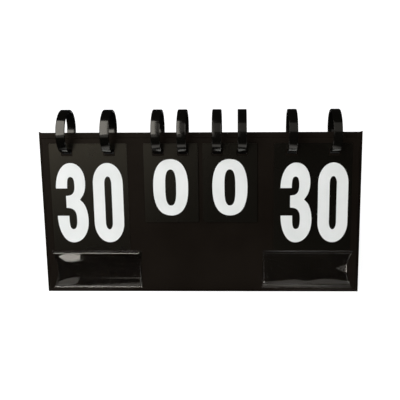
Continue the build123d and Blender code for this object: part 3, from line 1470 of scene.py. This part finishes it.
LEFT_FOLDS = (
    Fold(
        [(143.2, 154.0), (148.0, 149.8), (157.0, 148.9), (169.0, 149.2), (174.8, 152.5)],
        [(143.2, 154.0), (150.9, 156.6), (158.3, 157.7), (165.6, 156.9), (174.8, 152.6)],
        0.28, 2.2,
    ),
    Fold(
        [(149.6, 178.4), (157.0, 178.6), (163.2, 180.0), (168.2, 181.3), (174.5, 183.6), (178.3, 188.4)],
        [(149.6, 179.0), (154.8, 184.2), (158.7, 186.6), (168.6, 188.2), (178.3, 188.6)],
        0.13, 1.4,
    ),
)
RIGHT_FOLDS = (
    Fold([(163.0, 165.5), (176.0, 161.4)], [(163.0, 165.6), (176.0, 171.0)], 0.36, 1.6),
    Fold(
        [(84.0, 184.0), (114.3, 180.6), (125.3, 183.4), (144.6, 180.2), (160.4, 180.2), (175.0, 183.5)],
        [(84.0, 185.6), (119.0, 186.3), (160.0, 186.3), (175.0, 185.4)],
        0.38, 1.4,
    ),
)


@dataclass
class NamePocket:
    """A clear film welded along three sides, slack and open towards the panel's side.

    A step is where a smooth rise starts and how long it is, and a line is where a ridge
    runs and how wide it is, each counted from its own edge of the film.
    """

    side: Side
    hand: Hand
    inner_end: float = 73.5
    outer_end: float = 181.6
    height: float = 47.2
    film: float = 0.3
    scoop: float = 5.6
    air: float = 0.02
    bead: float = 0.05
    bead_line: tuple[float, float] = (0.4, 0.3)
    room: float = 0.42
    top_step: tuple[float, float] = (2.4, 0.7)
    end_step: tuple[float, float] = (1.4, 0.9)
    sunk_share: float = 0.9
    sunk_step: tuple[float, float] = (3.1, 0.8)
    seam: float = 0.30
    seam_step: tuple[float, float] = (1.5, 0.7)
    slack_top: tuple[float, float] = (3.0, 0.8)
    slack_bottom: tuple[float, float] = (2.0, 0.8)
    lip: float = 0.34
    lip_line: tuple[float, float] = (0.9, 0.6)

    @property
    def folds(self) -> Sequence[Fold]:
        """The slack folds: the two pockets of a panel differ, and the back is turned round."""
        return LEFT_FOLDS if (self.hand is Hand.LEFT) == (self.side is Side.FRONT) else RIGHT_FOLDS

    def relief(self, x: np.ndarray, down: np.ndarray, end: np.ndarray) -> np.ndarray:
        """The film's height above the cover.

        A small bead runs along the film's cut edge. Inside the weld the film steps up
        along the top and the inner end. At the bottom it drops and then climbs in a
        sharp last step. Slack folds cross it near the open end, where its edge has a lip.

        Args:
            x: places along the fold from the panel's middle.
            down: places down the panel.
            end: where the open edge is.

        Returns:
            Heights in millimetres.
        """

        def rising(value: np.ndarray, step: tuple[float, float]) -> np.ndarray:
            """0 up to the step's start, and 1 from its end on."""
            return smoothstep((value - step[0]) / step[1])

        top = down - LAYOUT.pocket_top
        bottom = self.height - top
        inner = x - self.inner_end
        bead = self.bead * ridge(np.minimum(np.minimum(top, bottom), inner), *self.bead_line)
        step = self.room * rising(top, self.top_step) * rising(inner, self.end_step)
        sunk = 1 - self.sunk_share * smoothstep((self.sunk_step[0] - bottom) / self.sunk_step[1])
        seam = self.seam * smoothstep((self.seam_step[0] - bottom) / self.seam_step[1])
        folds = sum(fold.height(x, down) for fold in self.folds)
        inside = rising(top, self.slack_top) * rising(bottom, self.slack_bottom)
        lip = self.lip * ridge(end - x, *self.lip_line) * inside
        return self.air + bead + step * sunk + seam + folds * inside + lip

    def build(self, material: bpy.types.Material) -> bpy.types.Object:
        """The film as a closed sheet whose open end is scooped out for a thumb.

        The scoop's depth follows a power of a sine down the film.

        Args:
            material: the film's finish.

        Returns:
            The piece.
        """
        share = spaced([0, 0.04, 0.5, 0.96, 1], [0.0025, 0.012, 0.007, 0.0025])
        drop = spaced([0, 0.09, 0.8, 1], [0.0045, 0.0115, 0.0045])
        along, fall = np.meshgrid(share, drop)
        end = self.outer_end - self.scoop * np.sin(math.pi * fall) ** 1.2
        x = self.inner_end + along * (end - self.inner_end)
        down = LAYOUT.pocket_top + fall * self.height
        base = LAYOUT.cover_face + self.relief(x, down, end)
        outer = LAYOUT.place(self.side, self.hand.value * x, down, base + self.film)
        inner = LAYOUT.place(self.side, self.hand.value * x, down, base)
        node = f"{self.side.word}_{self.hand.word}_name_pocket"
        piece = sheet_mesh(f"{node}_film", outer, inner)
        return finish_piece(piece, material, self.side.body, [node])


# ---------------------------------------------------------------- straps


@dataclass
class SpreaderStrap:
    """A flat strap between the linings, with a welded tab at each end."""

    hand: Hand
    middle: float = 158.0
    width: float = 16.0
    thickness: float = 0.8
    tab: float = 14.0
    tab_end: float = 1.4
    height: float = 18.0
    rise: float = 0.45
    sag: float = 1.6
    bend: float = 1.8
    fine: float = 1.2
    edge_line: float = 0.5
    folded: float = 0.006

    def build(self, material: bpy.types.Material) -> bpy.types.Object:
        """The strap as a closed sheet along its line.

        The line runs down a tab, round a small bend, across with a slight sag of the
        form of a parabola, and up the other tab. Its sides are thinned by a half.

        Args:
            material: the strap's finish.

        Returns:
            The piece, which rides on the front panel.
        """
        lean = math.radians(LAYOUT.lean)
        foot = (LAYOUT.fold_height - self.height) / math.cos(lean)
        down = np.linspace(foot - self.tab, foot - self.tab_end, 8)
        leg = LAYOUT.place(Side.FRONT, 0, down, -self.thickness / 2)[:, 1:] / METRES
        reach = foot * math.sin(lean)
        y = np.linspace(-reach + self.bend, reach - self.bend, 41)
        span = np.stack([y, self.height + self.rise - self.sag * (1 - (y / reach) ** 2)], -1)
        line = np.concatenate([leg, span, leg[::-1] * [-1, 1]])
        tangent = np.gradient(line, axis=0)
        normal = np.stack([-tangent[:, 1], tangent[:, 0]], -1)
        normal /= np.linalg.norm(normal, axis=1, keepdims=True)
        half = self.width / 2
        across = spaced([-half, -half + self.fine, half - self.fine, half], [0.3, 1.6, 0.3])
        edge = 1 - 0.5 * ridge(half - np.abs(across), 0, self.edge_line)
        grids = []
        for face in (1, -1):
            offset = face * self.thickness / 2 * edge
            yz = line[:, None, :] + normal[:, None, :] * offset[None, :, None]
            x = np.broadcast_to(self.hand.value * self.middle + across, yz.shape[:2])
            grids.append(np.concatenate([x[..., None], yz], -1) * METRES)
        piece = sheet_mesh(f"{self.hand.word}_strap_film", *grids)
        node = f"{self.hand.word}_spreader_strap"
        finish_piece(piece, material, "front_panel", [node])
        anchor = LAYOUT.place(Side.FRONT, self.hand.value * self.middle, foot, 0.0)
        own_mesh(piece)
        return piece


# ---------------------------------------------------------------- carried-over nodes


def dress(node: bpy.types.Object, material: bpy.types.Material) -> None:
    """Gives a CAD node its finish, and leaves its mesh as it is.

    Args:
        node: the node's object.
        material: the finish.
    """
    node.data.materials.clear()
    node.data.materials.append(material)
    log.info("%s: dressed with %s", node.name, material.name)


# ---------------------------------------------------------------- studio


@dataclass(frozen=True)
class Softbox:
    """A rectangular lamp that looks at the board from a direction."""

    name: str
    direction: tuple[float, float, float]
    distance: float
    size: tuple[float, float]
    radiance: float
    glossy: bool = True

    def build(self) -> None:
        """The lamp, turned so that its long side lies across the fold. Its power is pi
        times its radiance times its area."""
        lamp = bpy.data.lights.new(self.name, "AREA")
        lamp.shape = "RECTANGLE"
        lamp.size, lamp.size_y = self.size
        lamp.energy = math.pi * self.radiance * self.size[0] * self.size[1]
        holder = bpy.data.objects.new(self.name, lamp)
        back = np.array(self.direction, float)
        back /= np.linalg.norm(back)
        right = np.array([1.0, 0, 0]) - back[0] * back
        right /= np.linalg.norm(right)
        centre = back * self.distance + [0, 0, 0.1]
        holder.matrix_world = placed(right, np.cross(back, right), back, centre)
        holder.visible_glossy = self.glossy
        bpy.context.scene.collection.objects.link(holder)


SOFTBOXES = (
    Softbox("key_softbox", (-0.47, -0.54, 0.70), 1.5, (1.0, 2.0), 4.1),
    Softbox("left_softbox", (-0.42, -0.885, 0.20), 1.8, (1.28, 0.62), 0.6),
    Softbox("top_softbox", (0.15, -0.62, 0.77), 1.6, (1.2, 1.3), 0.4),
    Softbox("side_softbox", (0.93, -0.20, 0.35), 1.8, (1.2, 1.2), 1.8),
    Softbox("rear_softbox", (0.1, 0.85, 0.5), 1.8, (1.8, 1.0), 2.0, glossy=False),
)


def placed(right: np.ndarray, up: np.ndarray, back: np.ndarray, centre: np.ndarray) -> Matrix:
    """The matrix of an object with these axes and centre.

    Args:
        right: its own x.
        up: its own y.
        back: its own z, which a lamp or a camera looks away from.
        centre: where it stands.

    Returns:
        The matrix.
    """
    matrix = np.eye(4)
    matrix[:3, :3] = np.stack([right, up, back], 1)
    matrix[:3, 3] = centre
    return Matrix(matrix.tolist())


@dataclass
class Studio:
    """The floor, the lamps, the backdrop and the camera. Lengths are metres here."""

    camera_place: tuple[float, float, float] = (0.04702, -0.61526, 0.56357)
    yaw: float = -0.02264
    pitch: float = 0.5294
    roll: float = -0.01539
    sensor: float = 36.0
    lens: float = 615.85 / 400 * 36
    shift: tuple[float, float] = (-0.07, -0.2)
    floor_half: float = 6.0
    floor_grey: float = 0.35
    floor_glow: float = 0.88
    reach: float = 3.0
    wall: float = 0.012
    table: float = 0.9
    pale: tuple[float, float, float, float] = (0.11, 0.14, 0.18, 0.24)
    ambient: float = 0.10

    def build(self) -> None:
        """Everything round the board."""
        self.camera()
        self.floor()
        self.room()
        self.world()
        for softbox in SOFTBOXES:
            softbox.build()

    def camera(self) -> None:
        """The camera: it looks along the yaw, down by the pitch, and turns by the roll."""
        sy, cy = math.sin(self.yaw), math.cos(self.yaw)
        sp, cp = math.sin(self.pitch), math.cos(self.pitch)
        ahead = np.array([sy * cp, cy * cp, -sp])
        right = np.array([cy, -sy, 0.0])
        up = np.cross(right, ahead)
        sr, cr = math.sin(self.roll), math.cos(self.roll)
        right, up = right * cr + up * sr, up * cr - right * sr
        data = bpy.data.cameras.new("camera")
        data.sensor_width, data.sensor_fit = self.sensor, "HORIZONTAL"
        data.lens = self.lens
        data.shift_x, data.shift_y = self.shift
        data.clip_start, data.clip_end = 0.01, 20
        camera = bpy.data.objects.new("camera", data)
        camera.matrix_world = placed(right, up, -ahead, self.camera_place)
        bpy.context.scene.collection.objects.link(camera)
        bpy.context.scene.camera = camera

    def floor(self) -> None:
        """A pale floor, which the camera sees as white but for the board's shadow."""
        corners = [(-1, -1, 0), (1, -1, 0), (1, 1, 0), (-1, 1, 0)]
        points = self.floor_half * np.array(corners, float)
        floor = make_mesh("floor", points, [np.array([[0, 1, 2, 3]])])
        material, nodes = Nodes.of_material("pale_floor")
        paint = nodes.add("ShaderNodeBsdfDiffuse")
        paint.inputs["Color"].default_value = (*[self.floor_grey] * 3, 1)
        glow = nodes.add("ShaderNodeEmission")
        rays = nodes.add("ShaderNodeLightPath")
        seen = nodes.remap(rays.outputs["Is Camera Ray"], 0, self.floor_glow)
        nodes.join(seen, glow.inputs["Strength"])
        both = nodes.add("ShaderNodeAddShader")
        nodes.join(paint.outputs["BSDF"], both.inputs[0])
        nodes.join(glow.outputs["Emission"], both.inputs[1])
        nodes.surface(both.outputs["Shader"])
        floor.data.materials.append(material)

    def room(self) -> None:
        """The studio as reflections see it: dark walls, and a pale ring of table round the board.

        Half a sphere closed by its floor. Its light is the wall's, but the table's where
        the distance from the middle lies within the pale ring, with an even rise and fall.
        """
        rows = 12
        turn, step = np.meshgrid(np.linspace(0, 2 * math.pi, 65), np.arange(2 * rows + 1))
        rise = np.clip((step - rows) / rows, 0, 1) * math.pi / 2
        across = self.reach * np.minimum(step / rows, 1) ** 2 * np.cos(rise)
        up = self.reach * np.sin(rise) + 0.0005
        points = np.stack([across * np.cos(turn), across * np.sin(turn), up], -1)
        index = np.arange(turn.size).reshape(turn.shape)
        quads = np.stack([index[:-1, :-1], index[:-1, 1:], index[1:, 1:], index[1:, :-1]], -1)
        walls = make_mesh("studio_room", points.reshape(-1, 3), [quads.reshape(-1, 4)])
        material, nodes = Nodes.of_material("studio_room")
        far = nodes.add("ShaderNodeVectorMath", operation="LENGTH")
        nodes.join(nodes.place(), far.inputs[0])
        start, full, last, end = self.pale
        lower = nodes.add("ShaderNodeMath", operation="MINIMUM")
        near_edge = nodes.remap(far.outputs["Value"], self.wall, self.table, start, full)
        far_edge = nodes.remap(far.outputs["Value"], self.table, self.wall, last, end)
        nodes.join(near_edge, lower.inputs[0])
        nodes.join(far_edge, lower.inputs[1])
        glow = nodes.add("ShaderNodeEmission")
        nodes.join(lower.outputs["Value"], glow.inputs["Strength"])
        nodes.surface(glow.outputs["Emission"])
        walls.data.materials.append(material)
        walls.visible_camera = walls.visible_diffuse = walls.visible_shadow = False

    def world(self) -> None:
        """A dim studio all round, which the camera sees as white."""
        world = bpy.data.worlds.new("studio")
        world.use_nodes = True
        bpy.context.scene.world = world
        nodes = Nodes(world.node_tree)
        rays = nodes.add("ShaderNodeLightPath")
        white = rays.outputs["Is Camera Ray"]
        for name in ("Is Glossy Ray", "Is Transmission Ray"):
            either = nodes.add("ShaderNodeMath", operation="MAXIMUM")
            nodes.join(white, either.inputs[0])
            nodes.join(rays.outputs[name], either.inputs[1])
            white = either.outputs["Value"]
        light = nodes.add("ShaderNodeBackground")
        light.inputs["Color"].default_value = (1, 1, 1, 1)
        nodes.join(nodes.remap(white, self.ambient, 1.0), light.inputs["Strength"])
        nodes.surface(light.outputs["Background"], "ShaderNodeOutputWorld")


# ---------------------------------------------------------------- the whole board


def main() -> None:
    """Builds every class in order around the frame."""
    logging.basicConfig(level=logging.INFO, format="%(name)s %(message)s")
    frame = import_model()
    nodes = frame["nodes"]
    Studio().build()
    bpy.context.scene.view_settings.view_transform = "Standard"
    finishes = Finishes()
    for side in Side:
        dress(nodes[f"{side.word}_board"], finishes.board)
        dress(nodes[f"{side.word}_lining"], finishes.lining)
        CoverFilm(side).build(finishes.cover)
        for hand in Hand:
            NamePocket(side, hand).build(finishes.clear)
    CreaseFilm().build(finishes.cover)
    for number, place in enumerate(LAYOUT.ring_places, 1):
        FlatRing(number, place).build(finishes.ring)
    Cards().build(finishes, nodes)
    for hand in Hand:
        SpreaderStrap(hand).build(finishes.strap)


if __name__ == "__main__":
    main()
